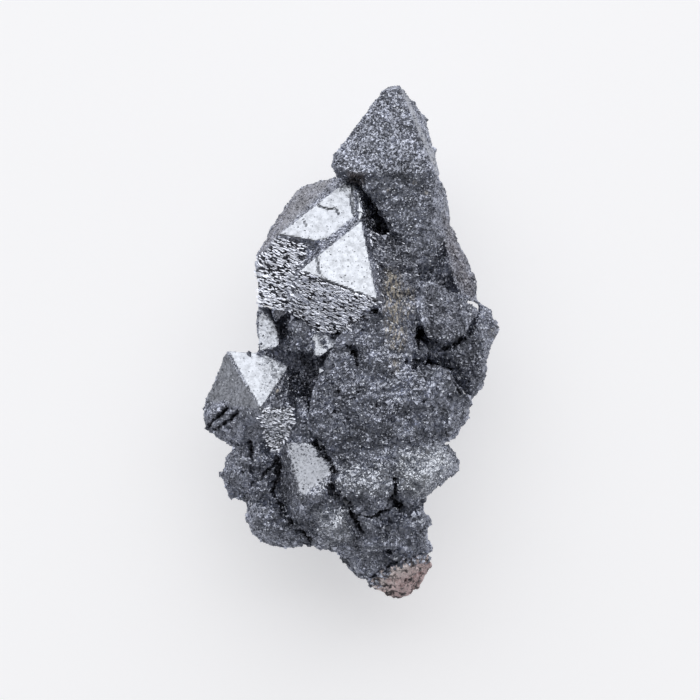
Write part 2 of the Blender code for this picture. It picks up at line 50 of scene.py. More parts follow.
def pick(item):
    bpy.ops.object.select_all(action="DESELECT")
    item.select_set(True)
    bpy.context.view_layer.objects.active = item


def applyModifier(item, modifier):
    pick(item)
    bpy.ops.object.modifier_apply(modifier=modifier.name)


def smoothStep(low, high, value):
    t = np.clip((value - low) / (high - low), 0, 1)
    return t * t * (3 - 2 * t)


def unit(vectors):
    vectors = np.asarray(vectors, float)
    return vectors / np.maximum(np.linalg.norm(vectors, axis=-1, keepdims=True), 1e-12)


def pointsOf(item):
    points = np.empty(len(item.data.vertices) * 3)
    item.data.vertices.foreach_get("co", points)
    return points.reshape(-1, 3) / mm


def normalsOf(item):
    normals = np.empty(len(item.data.vertices) * 3)
    item.data.vertices.foreach_get("normal", normals)
    return normals.reshape(-1, 3)


def setPoints(item, points):
    item.data.vertices.foreach_set("co", (points * mm).ravel())
    item.data.update()


def setAttribute(item, name, values):
    made = item.data.attributes.get(name) or item.data.attributes.new(name, "FLOAT", "POINT")
    made.data.foreach_set("value", np.asarray(values, np.float32))


def getAttribute(item, name):
    values = np.empty(len(item.data.vertices), np.float32)
    item.data.attributes[name].data.foreach_get("value", values)
    return values


def meshObject(name, corners, faces):
    mesh = bpy.data.meshes.new(name)
    mesh.vertices.add(len(corners))
    mesh.vertices.foreach_set("co", (corners * mm).ravel())
    mesh.loops.add(faces.size)
    mesh.loops.foreach_set("vertex_index", faces.ravel().astype(np.int32))
    mesh.polygons.add(len(faces))
    starts = np.arange(0, faces.size, faces.shape[1], dtype=np.int32)
    mesh.polygons.foreach_set("loop_start", starts)
    mesh.update(calc_edges=True)
    mesh.shade_flat()
    made = bpy.data.objects.new(name, mesh)
    bpy.context.scene.collection.objects.link(made)
    return made


def copyOfNode(nodeName, name):
    made = bpy.data.objects.new(name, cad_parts[nodeName].data.copy())
    bpy.context.scene.collection.objects.link(made)
    made.data.materials.clear()
    pick(made)
    bpy.ops.object.mode_set(mode="EDIT")
    bpy.ops.mesh.select_all(action="SELECT")
    bpy.ops.mesh.remove_doubles(threshold=0.000002)
    bpy.ops.object.mode_set(mode="OBJECT")
    return made


def remesh(item, voxel):
    modifier = item.modifiers.new("even mesh", "REMESH")
    modifier.mode = "VOXEL"
    modifier.voxel_size = voxel * mm
    applyModifier(item, modifier)


def finishPiece(item, slotName, *nodes):
    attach(item, "root")
    if nodes:
        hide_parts(*nodes)


def awayFromLine(points, line):
    # distance in the top view from a line of several stretches
    x, y = points[:, 0], points[:, 1]
    nearest = np.full(len(points), 1e9)
    for (x1, y1), (x2, y2) in zip(line[:-1], line[1:]):
        along = ((x - x1) * (x2 - x1) + (y - y1) * (y2 - y1)) / ((x2 - x1) ** 2 + (y2 - y1) ** 2)
        along = np.clip(along, 0, 1)
        away = np.hypot(x - x1 - along * (x2 - x1), y - y1 - along * (y2 - y1))
        nearest = np.minimum(nearest, away)
    return nearest


def insideBy(points, corners):
    # signed distance to an outline in the top view, above 0 inside it
    corners = np.asarray(corners, float)[:, :2]
    x, y = points[:, 0], points[:, 1]
    inside = np.zeros(len(points), bool)
    for (x1, y1), (x2, y2) in zip(corners, np.roll(corners, -1, axis=0)):
        crosses = (y1 > y) != (y2 > y)
        inside ^= crosses & (x < (x2 - x1) * (y - y1) / (y2 - y1 + 1e-12) + x1)
    nearest = awayFromLine(points, np.vstack([corners, corners[:1]]))
    return np.where(inside, nearest, -nearest)


def noiseAt(points, size, offset=0.0, octaves=3):
    return np.array([noise.fractal(Vector(p), 0.9, 2.1, octaves) for p in points / size + offset])


def cellsAt(points, size, offset=0.0):
    # distance to the nearest of scattered centres, about 0 to 1
    return np.array([noise.voronoi(Vector(p))[0][0] for p in points / size + offset])


grainForms = {
    "octahedron": (
        np.array([(1, 0, 0), (-1, 0, 0), (0, 1, 0), (0, -1, 0), (0, 0, 1), (0, 0, -1)], float),
        np.array([(0, 2, 4), (2, 1, 4), (1, 3, 4), (3, 0, 4), (2, 0, 5), (1, 2, 5), (3, 1, 5), (0, 3, 5)]),
    ),
    "tetrahedron": (
        np.array([(1, 1, 1), (-1, -1, 1), (-1, 1, -1), (1, -1, -1)], float) * 0.75,
        np.array([(0, 2, 1), (0, 3, 2), (0, 1, 3), (1, 2, 3)]),
    ),
}


def randomTurns(count):
    q = unit(dice.normal(size=(count, 4)))
    w, x, y, z = q.T
    return np.stack([
        np.stack([1 - 2 * (y * y + z * z), 2 * (x * y - z * w), 2 * (x * z + y * w)], -1),
        np.stack([2 * (x * y + z * w), 1 - 2 * (x * x + z * z), 2 * (y * z - x * w)], -1),
        np.stack([2 * (x * z - y * w), 2 * (y * z + x * w), 1 - 2 * (x * x + y * y)], -1)], 1)


def spotsOn(item, count, density, names=(), keep=None):
    # random places on a skin, more of them where density is high, with its attributes there
    mesh = item.data
    mesh.calc_loop_triangles()
    triangles = np.empty(len(mesh.loop_triangles) * 3, np.int32)
    mesh.loop_triangles.foreach_get("vertices", triangles)
    triangles = triangles.reshape(-1, 3)
    points, normals = pointsOf(item), normalsOf(item)
    a, b, c = (points[triangles[:, k]] for k in range(3))
    weights = np.linalg.norm(np.cross(b - a, c - a), axis=1) * density[triangles].mean(1)
    if keep is not None:
        weights = weights * keep((a + b + c) / 3)
    chosen = dice.choice(len(triangles), size=count, p=weights / weights.sum())
    share = dice.dirichlet((1, 1, 1), size=count)[:, :, None]
    corners = triangles[chosen]
    values = {name: getAttribute(item, name)[corners].mean(1) for name in names}
    return (points[corners] * share).sum(1), unit((normals[corners] * share).sum(1)), values


def placeForms(name, form, spots, turns, reach, tone, values):
    corners, faces = grainForms[form]
    placed = np.einsum("nij,kj->nki", turns, corners) * reach[:, None, None] + spots[:, None, :]
    placed[..., 2] = np.maximum(placed[..., 2], 0.0)
    allFaces = (faces[None] + (np.arange(len(spots)) * len(corners))[:, None, None]).reshape(-1, 3)
    made = meshObject(name, placed.reshape(-1, 3), allFaces)
    setAttribute(made, "tone", np.repeat(tone, len(corners)))
    for tint, amount in values.items():
        setAttribute(made, tint, np.repeat(amount, len(corners)))
    return made


# Places are drawn in millimetres from the middle of the photographed front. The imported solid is
# centred on its own box, so its highest tip gives the small move from the drawn places to it.
drawnTip = (5.3, 33.55)
clusterPoints = pointsOf(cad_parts["crystal_cluster"])
packedTip = clusterPoints[np.argmax(clusterPoints[:, 1])]
drawnToPart = np.array([packedTip[0] - drawnTip[0], packedTip[1] - drawnTip[1], 0.0])

# the crystals' skin

skin = {
    "voxel": 0.20,          # mesh size of the front, millimetres
    "backVoxel": 0.32,
    "splitHeight": 7.0,     # front above, back below
    "lumps": ((4.2, 0.42), (1.7, 0.30)),   # size and height of the uneven growth
    "grain": (0.70, 0.24),                 # size and depth of the gaps between grains
    "pores": (2.3, 0.20),                  # spacing and half width of open pores in the rough parts
    "polishedRelief": 0.12,                # share of the gaps' depth left on smooth faces
    "underGrains": 0.10,                   # how far the skin draws back, as grains add to it
    "crackDepth": 0.16,
    "creviceDepth": 0.65,
    "waver": 0.16,                         # how far cracks stray from their drawn lines
}

# smooth faces: tips of the face (the first three give its plane) and how smooth it is
smoothFaces = {
    "plate": (((1.3, 15.9, 20.4), (-6.8, 9.4, 23.2), (3.4, 5.5, 25.0)), 1.0),
    "band": (((-0.9, 21.1, 17.2), (-9.6, 14.1, 20.2), (1.6, 15.9, 19.4), (0.6, 20.5, 17.4)), 0.9),
    "bandLow": (((-4.5, 13.2, 20.6), (-9.6, 14.1, 20.2), (1.6, 15.9, 19.4)), 0.9),
    "strip": (((0.5, 20.2, 18.2), (0.75, 16.1, 20.0), (1.55, 16.3, 19.9), (1.25, 19.6, 18.1)), 1.0),
    "mainFlank": (((-9.6, 14.1, 20.2), (-2.2, 21.7, 14.0), (-7.3, 20.2, 12.2), (-10.8, 14.4, 12.6),
                   (-12.3, 11.4, 17.4)), 0.30),
    "leftUpper": (((-15.9, -0.9, 14.6), (-11.9, -8.3, 19.8), (-8.2, -2.8, 15.6),
                   (-11.8, -1.05, 14.9)), 0.9),
    "leftSide": (((-16.1, -0.8, 14.6), (-18.9, -7.3, 12.4), (-11.9, -8.3, 19.8)), 0.6),
    "ridgeUpper": (((-8.8, -12.4, 16.8), (-6.7, -19.8, 19.8), (-2.1, -16.0, 17.6), (-4.0, -13.6, 16.8),
                    (-5.0, -12.9, 16.7)), 0.63),
    "nestPillar": (((-12.4, 5.2, 13.8), (-12.2, -1.2, 15.6), (-9.2, -0.4, 15.2), (-9.4, 1.7, 14.6),
                    (-10.5, 4.9, 13.4)), 0.8),
    "nestFacet": (((-5.1, 1.2, 16.9), (-5.1, -1.9, 18.2), (-3.0, -1.0, 18.5), (-1.5, 1.2, 17.4)), 0.9),
    "summitSide": (((6.2, 33.3, 19.2), (10.8, 22.0, 20.3), (11.8, 21.6, 14.2), (9.7, 29.6, 13.4)), 0.5),
}

# how rough each crystal is: outline in the top view and share of the full relief
roughness = (
    (((5.3, 34.5), (-3.5, 25.0), (-3.2, 20.5), (3.2, 18.0), (5.9, 13.6), (11.0, 9.4), (13.6, 15.0),
      (13.0, 23.0), (10.5, 31.0)), 0.30),
    (((-2.0, 22.6), (-8.0, 21.0), (-13.5, 11.5), (-13.0, 4.6), (-7.0, 1.0), (-1.6, 1.0), (1.2, 3.4),
      (4.8, 5.2), (2.4, 17.0), (0.8, 21.2)), 0.16),
    (((-16.8, 0.0), (-8.0, -2.2), (-6.6, -9.4), (-9.8, -15.0), (-13.0, -13.6), (-13.2, -9.8),
      (-19.6, -7.4)), 0.25),
    (((-9.4, -12.0), (-3.6, -12.8), (-1.6, -16.4), (-6.0, -23.0), (-10.8, -18.0)), 0.35),
    (((9.0, 7.0), (9.0, 0.4), (13.2, 0.2), (17.0, 5.0), (12.6, 17.6), (11.0, 10.0)), 0.55),
)

# faces that step down from a smooth one: outline in the top view and how dense the steps are
stepFaces = {
    "mainLower": (((-12.4, 11.4), (-12.4, 4.6), (-7.8, 3.8), (-7.5, 8.9), (-6.3, 10.9), (-5.8, 12.7),
                   (-9.4, 13.8)), 0.85),
    "plateLower": (((-6.8, 9.4), (-7.9, 4.2), (-4.4, 1.4), (-2.0, 1.4), (2.6, 3.6), (3.5, 5.4)), 1.0),
    "leftLower": (((-11.8, -8.3), (-8.0, -8.2), (-7.4, -9.5), (-8.2, -11.5), (-9.3, -13.5),
                   (-10.2, -14.3), (-11.0, -13.0), (-11.7, -10.0)), 1.0),
    "mainRight": (((2.2, 15.0), (3.8, 6.4), (6.4, 7.6), (8.6, 9.0), (7.6, 12.4), (5.0, 14.2)), 0.22),
    "rightWedge": (((9.6, 6.4), (14.6, 5.6), (13.2, 1.4), (10.2, 1.2)), 0.15),
}

# open cracks on the smooth faces: lines in the top view, and half their width; they are carved in and
# darkened with painted shade
cracks = {
    "bandUpper": (((-4.3, 17.9), (-3.2, 17.5), (-2.1, 17.5), (-1.7, 16.9)), 0.02),
    "bandMiddle": (((-6.3, 16.0), (-5.9, 15.3)), 0.0),
    "plateLeft": (((-4.7, 11.3), (-4.3, 10.4), (-4.4, 9.6), (-3.9, 8.6)), 0.02),
    "stripSide": (((0.1, 20.4), (-0.1, 18.4), (0.3, 16.6)), 0.05),
    "summitScratch": (((2.6, 22.0), (3.4, 22.8), (4.6, 22.2)), 0.0),
}

# deep crevices between the rough lumps, carved in and darkened with painted shade
crevices = {
    "leftLedge": (((-18.9, -11.0), (-17.6, -9.6), (-16.3, -8.3)), 0.08),
    "leftLedgeLow": (((-18.0, -11.2), (-16.2, -10.2), (-14.9, -8.9)), 0.07),
    "leftLobe": (((-13.4, -12.8), (-13.0, -14.8)), 0.12),
    "leftLobeLow": (((-13.4, -18.6), (-12.0, -17.4), (-10.8, -16.4), (-9.8, -15.2)), 0.11),
    "ridgeLeft": (((-9.9, -14.6), (-9.6, -16.6), (-10.4, -19.4), (-9.0, -21.4)), 0.10),
    "lumpLeft": (((-9.4, -21.6), (-7.8, -23.4), (-6.0, -25.2), (-5.2, -26.8)), 0.12),
    "ridgeRight": (((-4.4, -13.2), (-3.0, -15.0), (-2.2, -16.8), (-2.6, -18.6)), 0.08),
    "lumpCentre": (((-1.9, -19.2), (-0.4, -20.8), (0.2, -22.6), (1.4, -24.6)), 0.10),
    "lumpLower": (((0.4, -22.3), (2.6, -22.4), (4.8, -21.4)), 0.07),
    "lowerRight": (((5.6, -17.6), (5.4, -19.8), (6.4, -21.6)), 0.08),
    "middleTop": (((-0.6, -0.2), (0.6, -1.4), (0.8, -2.8)), 0.09),
    "hollowFoot": (((7.0, -2.3), (8.6, -2.6), (10.0, -2.3), (11.4, -2.6), (12.5, -3.6), (13.5, -5.3),
                    (14.3, -6.6)), 0.09),
    "hollowTop": (((8.8, 2.0), (8.7, -0.6)), 0.07),
    "lobeEdge": (((11.6, -0.7), (12.9, -0.1), (14.4, 0.8)), 0.06),
}

# small blocky crystals that stand in the rough parts, and where: outline in the top view, density
blocks = {
    "count": 620,
    "reach": (0.55, 1.35),  # half sizes, millimetres
    "sunk": 0.45,           # share of the half size below the skin
    "clear": 1.3,           # how far the surface has to go on round a block
    "fall": 3.0,            # and how much lower it may lie there
}
blockAreas = (
    (((-19.0, -12.0), (-9.0, -13.0), (-2.0, -13.5), (6.0, -12.0), (14.0, -12.5), (12.0, -20.0),
      (6.0, -33.0), (-2.0, -31.0), (-16.0, -25.0)), 1.0),
    (((9.0, 7.0), (19.0, 2.0), (17.0, -6.0), (13.0, -12.0), (10.0, -6.0), (9.0, 0.0)), 0.45),
    (((-5.0, 1.0), (4.0, 4.0), (9.0, 0.0), (11.0, -8.0), (6.0, -12.0), (-2.0, -13.0), (-5.0, -6.0)), 0.18),
)

# tints, painted shade and painted light, and their places in the top view: outline, strength, softness of
# the border
tints = {
    "ochre": (
        (((4.4, 9.6), (6.2, 9.0), (6.9, 4.0), (6.6, -0.6), (5.0, -0.8), (4.3, 4.0)), 0.68, 0.8),
        (((7.0, 8.0), (7.9, 7.0), (8.0, 3.2), (7.1, 3.4)), 0.45, 0.4),
        (((4.5, 3.0), (5.6, 3.0), (5.4, 1.0), (4.4, 1.2)), 0.7, 0.4),
        (((5.0, -2.0), (6.0, -2.0), (6.0, -3.5), (5.2, -3.6)), 0.5, 0.5),
        (((-9.9, -5.8), (-9.4, -5.7), (-9.3, -6.2), (-9.8, -6.3)), 1.0, 0.15),
        (((4.4, 19.9), (4.9, 19.9), (4.8, 19.6), (4.4, 19.6)), 0.9, 0.2),
        (((9.4, 19.8), (9.9, 19.7), (9.7, 19.4), (9.4, 19.4)), 0.8, 0.2),
        (((7.8, 21.0), (8.3, 20.9), (8.2, 20.6), (7.8, 20.6)), 0.8, 0.2),
        (((18.0, 2.0), (18.9, 2.0), (18.9, 1.0), (18.0, 1.0)), 0.35, 0.5),
    ),
    "brownAndShadow": (
        (((12.0, 16.8), (13.6, 15.0), (16.4, 7.4), (16.0, 5.4), (13.8, 7.6), (12.0, 12.0)), 0.35, 1.0),
        # painted shadow under the summit's overhang
        (((-0.5, 22.2), (1.6, 21.8), (1.4, 20.6), (-0.4, 21.0)), 0.8, 0.5),
        (((-9.6, 14.1), (-2.2, 21.7), (-7.3, 20.8), (-12.3, 13.4), (-12.0, 11.6)), 0.25, 0.4),
    ),
    # painted light: lifts these zones towards the smooth faces' bright metal colour; more grains there lie
    # parallel to the plate
    "pale": (
        (((-2.4, -16.4), (1.0, -15.9), (5.2, -16.2), (5.0, -19.2), (-1.6, -19.2)), 0.62, 1.2),
        (((5.8, -14.2), (11.4, -13.3), (13.4, -15.6), (9.6, -20.0), (5.8, -18.6)), 1.0, 1.2),
        (((8.2, -18.8), (9.2, -17.9), (11.8, -16.0), (11.2, -15.8), (8.0, -17.8)), 0.6, 0.5),
        (((-8.4, -12.8), (-2.2, -16.0), (-3.4, -19.8), (-7.0, -19.8)), 0.3, 0.8),
        (((-11.8, -8.3), (-7.6, -8.6), (-8.2, -11.5), (-10.2, -14.3), (-11.3, -11.5)), 0.65, 0.6),
        (((-5.0, -21.4), (-0.6, -21.4), (-0.4, -25.4), (-3.4, -26.0)), 0.72, 1.0),
    ),
    # painted shade: zones that lie in shade, such as the steep left side, the right wedge and the hollows,
    # are darkened
    "paintedShade": (
        (((-16.4, -0.9), (-19.2, -7.3), (-12.0, -8.3)), 0.30, 0.3),
        (((-8.8, -12.4), (-10.0, -19.0), (-8.6, -21.3), (-6.7, -19.6)), 0.35, 0.3),
        (((9.4, 8.0), (9.5, 0.7), (13.0, 0.3), (16.0, 4.6), (13.6, 6.6)), 0.30, 0.5),
        (((3.2, 14.0), (2.6, 18.2), (4.6, 17.0), (6.2, 13.8), (4.6, 13.4)), 0.25, 0.5),
        (((1.8, 16.0), (3.6, 5.6), (8.5, 6.0), (8.5, 12.0), (5.0, 15.5)), 0.40, 0.8),
        (((-8.4, -3.0), (-6.9, -4.0), (-7.4, -8.2), (-10.8, -8.0)), 0.35, 0.4),
        (((-8.8, -12.4), (-6.7, -19.8), (-2.1, -16.0), (-4.0, -13.6)), 0.32, 0.3),
        (((9.4, 6.0), (15.0, 5.4), (13.0, 1.0), (10.0, 1.0)), 0.42, 0.5),
        (((-10.8, 4.6), (-8.6, 4.2), (-8.4, 1.2), (-9.4, 0.4), (-10.4, 2.6)), 0.6, 0.4),
        (((-6.4, -2.0), (-5.2, -2.4), (-5.4, -6.0), (-5.9, -9.0), (-6.4, -8.0)), 0.35, 0.4),
        (((11.0, 9.0), (13.0, 9.2), (12.6, 7.0), (11.0, 7.0)), 0.5, 0.5),
        (((11.6, -0.8), (14.6, 1.0), (17.0, 0.4), (17.0, -4.0), (14.6, -7.2), (12.4, -4.0)), 0.38, 0.6),
    ),
}


def drawn(corners):
    corners = np.asarray(corners, float)
    return corners + drawnToPart[: corners.shape[1]]


def faceNormal(tips):
    a, b, c = np.asarray(tips[:3], float)
    normal = unit(np.cross(b - a, c - a))
    return normal if normal[2] > 0 else -normal


def onFace(points, normals, tips, border=0.15, depth=0.45, angle=24):
    # 1 where a point lies on the flat face that the tips span, fading at its edges
    tips = drawn(tips)
    normal = faceNormal(tips)
    off = np.abs((points - tips[0]) @ normal)
    facing = normals @ normal
    within = smoothStep(-border, border, insideBy(points, tips) + border)
    return within * (1 - smoothStep(depth * 0.6, depth, off)) * smoothStep(
        math.cos(math.radians(angle)), math.cos(math.radians(angle * 0.5)), facing)


def topMask(points, outline, softness):
    return smoothStep(-softness, softness, insideBy(points, drawn(outline)))


def seenFromAbove(item, points, normals, slack=0.35):
    # 1 for points that nothing hides from straight above
    tree = BVHTree.FromObject(item, bpy.context.evaluated_depsgraph_get())
    seen = np.zeros(len(points))
    for index in np.nonzero((normals[:, 2] > -0.1) & (points[:, 2] > 4.0))[0]:
        x, y, z = points[index] * mm
        hit = tree.ray_cast(Vector((x, y, aloft)), Vector((0, 0, -1)))[0]
        seen[index] = hit is None or hit.z - z < slack * mm
    return seen


def surveySkin(item):
    # works out, for each point of the skin, how smooth, stepped, rough and tinted it is, and where painted
    # shade and painted light go
    points, normals = pointsOf(item), normalsOf(item)
    seen = seenFromAbove(item, points, normals)
    polish = np.zeros(len(points))
    for tips, amount in smoothFaces.values():
        polish = np.maximum(polish, amount * onFace(points, normals, tips))
    steps = np.zeros(len(points))
    for tips, amount in stepFaces.values():
        steps = np.maximum(steps, amount * seen * topMask(points, tips, 0.3))
    rough = np.ones(len(points))
    for outline, amount in roughness:
        share = topMask(points, outline, 0.5) * seen
        rough = rough * (1 - share) + amount * share
    setAttribute(item, "polish", polish)
    setAttribute(item, "steps", steps * (1 - polish))
    setAttribute(item, "rough", rough * (1 - polish))
    wander = points.copy()
    wander[:, 0] += skin["waver"] * noiseAt(points, 0.9, 31.0)
    wander[:, 1] += skin["waver"] * noiseAt(points, 0.9, 47.0)
    crack = np.zeros(len(points))
    for line, halfWidth in cracks.values():
        away = awayFromLine(wander, drawn(line))
        crack = np.maximum(crack, 1 - smoothStep(halfWidth * 0.6, halfWidth + 0.12, away))
    setAttribute(item, "crack", crack * seen)
    crevice = np.zeros(len(points))
    for line, halfWidth in crevices.values():
        away = awayFromLine(points + (wander - points) * 2.0, drawn(line))
        crevice = np.maximum(crevice, 1 - smoothStep(halfWidth * 0.5, halfWidth + 0.27, away))
    spacing, poreHalfWidth = skin["pores"]
    halfWidth = poreHalfWidth / spacing
    pores = 1 - smoothStep(halfWidth * 0.5, halfWidth * 1.6, cellsAt(points, spacing, 17.0))
    pores = pores * smoothStep(0.5, 0.9, rough)
    # pores join the crevices, and the material darkens both with painted shade
    setAttribute(item, "crevice", np.maximum(crevice * seen, 0.8 * pores))
    for tint, places in tints.items():
        amount = np.zeros(len(points))
        for outline, strength, softness in places:
            amount = np.maximum(amount, strength * topMask(points, outline, softness))
        setAttribute(item, tint, amount * seen)


def roughen(item):
    points, normals = pointsOf(item), normalsOf(item)
    rough, polish = getAttribute(item, "rough"), getAttribute(item, "polish")
    grainSize, grainDepth = skin["grain"]
    relief = np.zeros(len(points))
    for index, (size, height) in enumerate(skin["lumps"]):
        relief += height * noiseAt(points, size, 11.0 * index) * rough
    cells = cellsAt(points, grainSize)
    gaps = grainDepth * (cells - 0.45)
    relief -= gaps * np.maximum(0.35 + 0.65 * rough - polish, skin["polishedRelief"])
    relief -= skin["underGrains"] * (1 - polish)
    relief -= skin["crackDepth"] * getAttribute(item, "crack")
    relief -= skin["creviceDepth"] * getAttribute(item, "crevice")
    moved = points + normals * relief[:, None]
    floorShare = smoothStep(0.1, 0.8, points[:, 2])     # the broken back stays flat
    moved = points + (moved - points) * floorShare[:, None]
    moved[:, 2] = np.maximum(moved[:, 2], 0.0)
    setPoints(item, moved)


def keepPart(item, height, above):
    # closes the cut, so that each half is a solid of its own
    pick(item)
    bpy.ops.object.mode_set(mode="EDIT")
    bpy.ops.mesh.select_all(action="SELECT")
    bpy.ops.mesh.bisect(plane_co=(0, 0, height * mm), plane_no=(0, 0, 1), use_fill=True,
                        clear_inner=above, clear_outer=not above)
    bpy.ops.object.mode_set(mode="OBJECT")


def addBlocks(item):
    # grown into the skin where the surface goes on all round, so the outline keeps its shape
    points, normals = pointsOf(item), normalsOf(item)
    density = np.zeros(len(points))
    for outline, amount in blockAreas:
        density = np.maximum(density, amount * topMask(points, outline, 0.5))
    density *= smoothStep(0.35, 0.7, normals[:, 2]) * smoothStep(8.0, 10.0, points[:, 2])
    for tips in (smoothFaces["ridgeUpper"][0], smoothFaces["leftUpper"][0]):
        density *= 1 - topMask(points, tips, 0.8)
    spots, spotNormals, _ = spotsOn(item, blocks["count"], density)
    tree = BVHTree.FromObject(item, bpy.context.evaluated_depsgraph_get())
    held = np.ones(len(spots), bool)
    for index, (x, y, z) in enumerate(spots):
        for dx, dy in ((1, 0), (-1, 0), (0, 1), (0, -1)):
            above = Vector(((x + dx * blocks["clear"]) * mm, (y + dy * blocks["clear"]) * mm, aloft))
            hit = tree.ray_cast(above, Vector((0, 0, -1)))[0]
            held[index] &= hit is not None and hit.z / mm > z - blocks["fall"]
    spots, spotNormals = spots[held], spotNormals[held]
    low, high = blocks["reach"]
    reach = low + (high - low) * dice.random(len(spots)) ** 2
    spots = spots - spotNormals * (reach * blocks["sunk"])[:, None]
    grown = placeForms("blocks", "octahedron", spots, randomTurns(len(spots)), reach,
                       np.zeros(len(spots)), {})
    pick(item)
    grown.select_set(True)
    bpy.ops.object.join()
    remesh(item, skin["voxel"])
    print("blocks", len(spots))


def makeSkin():
    front = copyOfNode("crystal_cluster", "crystal_front")
    back = copyOfNode("crystal_cluster", "crystal_back")
    remesh(front, skin["voxel"])
    remesh(back, skin["backVoxel"])
    addBlocks(front)
    for item in (front, back):
        surveySkin(item)
        roughen(item)
    keepPart(front, skin["splitHeight"] - 0.4, above=True)
    keepPart(back, skin["splitHeight"] + 0.4, above=False)
    return front, back


crystalFront, crystalBack = makeSkin()
print("skin", len(crystalFront.data.polygons), len(crystalBack.data.polygons))

# grains that grow over the skin

grains = {
    # name: form, how many, smallest and largest half size, share of it below the skin
    "druse_crystals": ("octahedron", 5200, 0.30, 0.62, 0.35),
    "grains_upper": ("octahedron", 20000, 0.11, 0.29, 0.30),
    "grains_lower": ("octahedron", 20000, 0.11, 0.29, 0.30),
    "fine_grains_upper": ("tetrahedron", 48000, 0.09, 0.17, 0.20),
    "fine_grains_lower": ("tetrahedron", 48000, 0.09, 0.17, 0.20),
    "grains_back": ("octahedron", 14000, 0.18, 0.42, 0.35),
}
plateNormal = faceNormal(smoothFaces["plate"][0])
tintNames = list(tints)
carried = ["polish", "steps", "rough", "crevice", *tintNames]


def turnsTowards(count, localNormal, target, jitter):
    # turns that bring localNormal near the target direction, with any twist about it
    target = unit(target + dice.normal(scale=jitter, size=(count, 3)))
    side = unit(np.cross(target, dice.normal(size=(count, 3))))
    goal = np.stack([side, np.cross(target, side), target], -1)
    localSide = unit(np.cross(localNormal, (0.3, 0.5, -0.8)))
    local = np.stack([localSide, np.cross(localNormal, localSide), localNormal], -1)
    return goal @ local.T


def scatterGrains(name, item, keep=None):
    form, count, smallest, largest, sunk = grains[name]
    rough, polish = getAttribute(item, "rough"), getAttribute(item, "polish")
    steps = getAttribute(item, "steps")
    # thick on rough ground, sparse on smooth faces, between steps and in crevices
    density = np.clip(0.45 + 0.75 * rough, 0, 1) * (1 - 0.97 * np.clip(polish * 1.25, 0, 1))
    density = density * (1 - 0.8 * steps) * (1 - 0.85 * getAttribute(item, "crevice"))
    if name == "druse_crystals":
        density = density * (0.15 + rough ** 2)
    spots, normals, values = spotsOn(item, count, density, carried, keep)
    reach = smallest + (largest - smallest) * dice.random(count) ** 2
    corners, faces = grainForms[form]
    a, b, c = corners[faces[0]]
    local = unit(np.cross(b - a, c - a))
    turns = randomTurns(count)
    # some grains have a face parallel to the plate and catch the light as it does
    share = (0.06 + 0.5 * values["pale"]) * (1 - values["crevice"])
    if name == "druse_crystals":
        share = share * 0.2
    aligned = dice.random(count) < share
    turns[aligned] = turnsTowards(int(aligned.sum()), local, plateNormal, 0.09)
    values["polish"] = np.where(aligned, 0.7, values["polish"])
    spots = spots - normals * (reach * sunk)[:, None]
    tone = dice.random(count)
    return placeForms(name, form, spots, turns, reach, tone, values)


def upperHalf(centres):
    return centres[:, 1] > -1.0


def lowerHalf(centres):
    return centres[:, 1] <= -1.0


druse = scatterGrains("druse_crystals", crystalFront)
grainPieces = [druse]
for half, keep in (("upper", upperHalf), ("lower", lowerHalf)):
    grainPieces.append(scatterGrains("grains_" + half, crystalFront, keep))
    grainPieces.append(scatterGrains("fine_grains_" + half, crystalFront, keep))
grainPieces.append(scatterGrains("grains_back", crystalBack))
print("grains", sum(len(piece.data.polygons) for piece in grainPieces))

# growth steps: thin shelves parallel to the pale plate, on the faces below it

growthSteps = {
    "count": 2200,
    "length": (0.30, 1.30),
    "width": (0.08, 0.24),
    "drop": 0.22,           # how far they reach down
    "lean": 15,             # degrees that their tops lean towards the light
    "turn": 0.22,           # how much their directions vary
    "unevenBelow": -6.0,    # three times as much on the left crystal, below this
}
plateTips = smoothFaces["plate"][0]
plateEdge = unit(np.array(plateTips[2]) - np.array(plateTips[1]))


